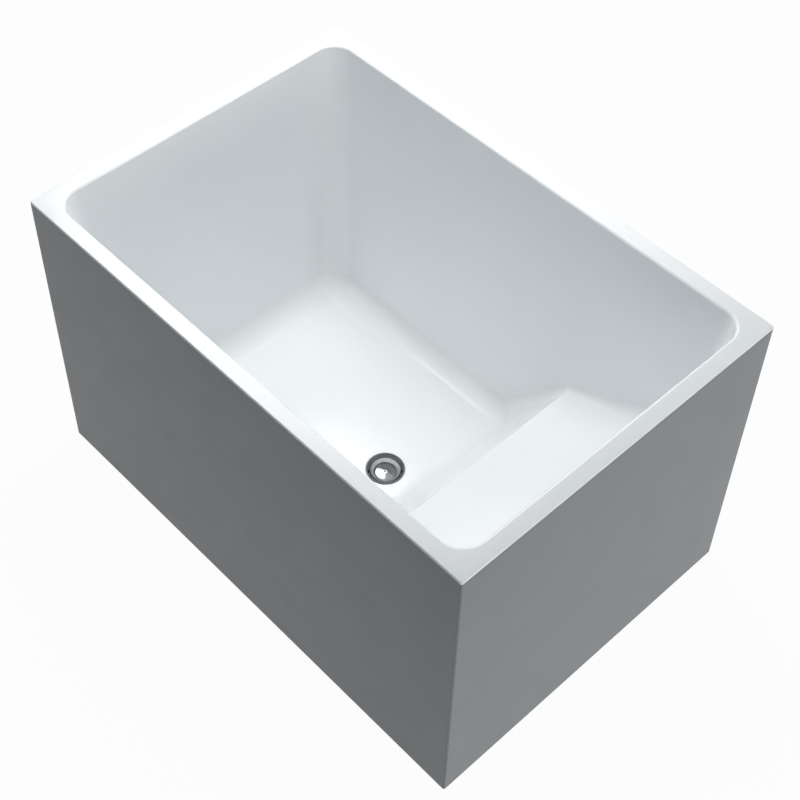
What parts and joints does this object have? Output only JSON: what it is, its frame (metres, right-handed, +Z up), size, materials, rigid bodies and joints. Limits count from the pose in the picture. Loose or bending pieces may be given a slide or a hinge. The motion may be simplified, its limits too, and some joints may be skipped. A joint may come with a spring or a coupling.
{
  "type": "bathtub",
  "caption": "Freestanding rectangular soaking bathtub: white moulded tub with a raised seat at one end, plain grey skirt, pop-up waste and levelling feet.",
  "frame": {"origin": "middle of the bath's footprint, on the floor", "axes": "+X along the length towards the seat, +Y across towards the back long side, +Z up"},
  "size_m": [1, 0.68, 0.62],
  "materials": {
    "acrylic_white": "gloss, moulded acrylic sheet",
    "skirt_grey": "satin, smooth",
    "plywood": "sanded birch plywood",
    "softwood": "planed softwood",
    "frame_steel": "black paint over welded steel",
    "zinc_steel": "zinc plated",
    "chrome": "bright chrome",
    "brass": "turned",
    "rubber": "matt",
    "pipe_plastic": "moulded",
    "foot_plastic": "moulded, matt"
  },
  "bodies": {
    "bath": {"inner_tub": "acrylic_white", "outer_skirt": "skirt_grey", "base_board": "plywood", "seat_rib_front": "plywood", "seat_rib_middle": "plywood", "seat_rib_back": "plywood", "rim_batten_front": "softwood", "rim_batten_back": "softwood", "rim_batten_left": "softwood", "rim_batten_right": "softwood", "frame_rail_front": "frame_steel", "frame_rail_back": "frame_steel", "frame_end_rail_left": "frame_steel", "frame_end_rail_right": "frame_steel", "frame_middle_rail_left": "frame_steel", "frame_middle_rail_right": "frame_steel", "frame_stub_rails": "frame_steel", "frame_post_front_left": "frame_steel", "frame_post_front_right": "frame_steel", "frame_post_back_left": "frame_steel", "frame_post_back_right": "frame_steel", "skirt_brackets": "zinc_steel", "bracket_screws": "zinc_steel", "foot_weld_nuts": "zinc_steel", "foot_lock_nuts": "zinc_steel", "waste_flange": "chrome", "waste_top_seal": "rubber", "waste_under_seal": "rubber", "waste_washer": "pipe_plastic", "waste_back_nut": "pipe_plastic", "outlet_seal": "rubber", "outlet_nut": "pipe_plastic", "outlet_pipe": "pipe_plastic", "plug_guide": "brass"},
    "plug": {"plug_cap": "chrome", "plug_stem": "brass", "plug_seal": "rubber"},
    "foot_pad_front_left": {"foot_pad_front_left": "foot_plastic"},
    "foot_stud_front_left": {"foot_stud_front_left": "zinc_steel"},
    "foot_pad_front_right": {"foot_pad_front_right": "foot_plastic"},
    "foot_stud_front_right": {"foot_stud_front_right": "zinc_steel"},
    "foot_pad_back_left": {"foot_pad_back_left": "foot_plastic"},
    "foot_stud_back_left": {"foot_stud_back_left": "zinc_steel"},
    "foot_pad_back_right": {"foot_pad_back_right": "foot_plastic"},
    "foot_stud_back_right": {"foot_stud_back_right": "zinc_steel"}
  },
  "joints": [
    {"name": "plug_lift", "type": "slide", "parent": "bath", "child": "plug", "axis": [0, 0, 1], "range_m": [0, 0.01]},
    {"name": "foot_front_left_height", "type": "slide", "parent": "bath", "child": "foot_pad_front_left", "axis": [0, 0, -1], "range_m": [-0.004, 0.016]},
    {"name": "foot_front_left_turn", "type": "hinge", "parent": "foot_pad_front_left", "child": "foot_stud_front_left", "pos_m": [-0.34, -0.28, 0], "axis": [0, 0, -1], "range_deg": [-965, 3845]},
    {"name": "foot_front_right_height", "type": "slide", "parent": "bath", "child": "foot_pad_front_right", "axis": [0, 0, -1], "range_m": [-0.004, 0.016]},
    {"name": "foot_front_right_turn", "type": "hinge", "parent": "foot_pad_front_right", "child": "foot_stud_front_right", "pos_m": [0.34, -0.28, 0], "axis": [0, 0, -1], "range_deg": [-965, 3845]},
    {"name": "foot_back_left_height", "type": "slide", "parent": "bath", "child": "foot_pad_back_left", "axis": [0, 0, -1], "range_m": [-0.004, 0.016]},
    {"name": "foot_back_left_turn", "type": "hinge", "parent": "foot_pad_back_left", "child": "foot_stud_back_left", "pos_m": [-0.34, 0.28, 0], "axis": [0, 0, -1], "range_deg": [-965, 3845]},
    {"name": "foot_back_right_height", "type": "slide", "parent": "bath", "child": "foot_pad_back_right", "axis": [0, 0, -1], "range_m": [-0.004, 0.016]},
    {"name": "foot_back_right_turn", "type": "hinge", "parent": "foot_pad_back_right", "child": "foot_stud_back_right", "pos_m": [0.34, 0.28, 0], "axis": [0, 0, -1], "range_deg": [-965, 3845]}
  ],
  "couplings": [
    {"joint": "foot_front_left_turn", "follows": "foot_front_left_height", "rad_per_m": 4188.8},
    {"joint": "foot_front_right_turn", "follows": "foot_front_right_height", "rad_per_m": 4188.8},
    {"joint": "foot_back_left_turn", "follows": "foot_back_left_height", "rad_per_m": 4188.8},
    {"joint": "foot_back_right_turn", "follows": "foot_back_right_height", "rad_per_m": 4188.8}
  ]
}
